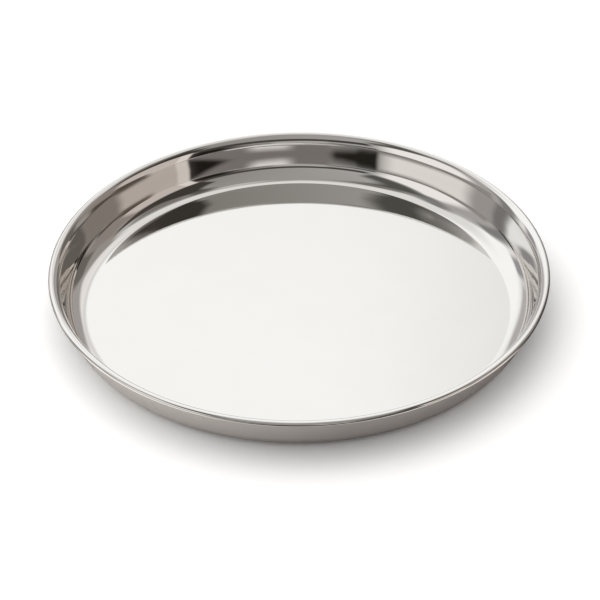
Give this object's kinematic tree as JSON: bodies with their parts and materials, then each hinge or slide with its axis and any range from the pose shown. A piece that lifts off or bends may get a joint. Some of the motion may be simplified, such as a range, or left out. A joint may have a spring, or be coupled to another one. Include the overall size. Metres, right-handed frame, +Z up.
{
  "type": "thali plate",
  "caption": "Round thali plate in mirror-polished stainless steel, with a flat floor, a low and slightly flared wall, and a rolled rim closed over a wire.",
  "frame": {"origin": "centre of the underside of the flat floor, on the surface the plate stands on", "axes": "+Z up along the axis of the round plate; +X and +Y level, with nothing to tell them apart"},
  "size_m": [0.3, 0.3, 0.0278],
  "materials": {
    "polished_steel": "polished",
    "drawn_wire": "satin"
  },
  "bodies": {
    "root": {"dish": "polished_steel", "rim_wire": "drawn_wire"}
  },
  "joints": []
}
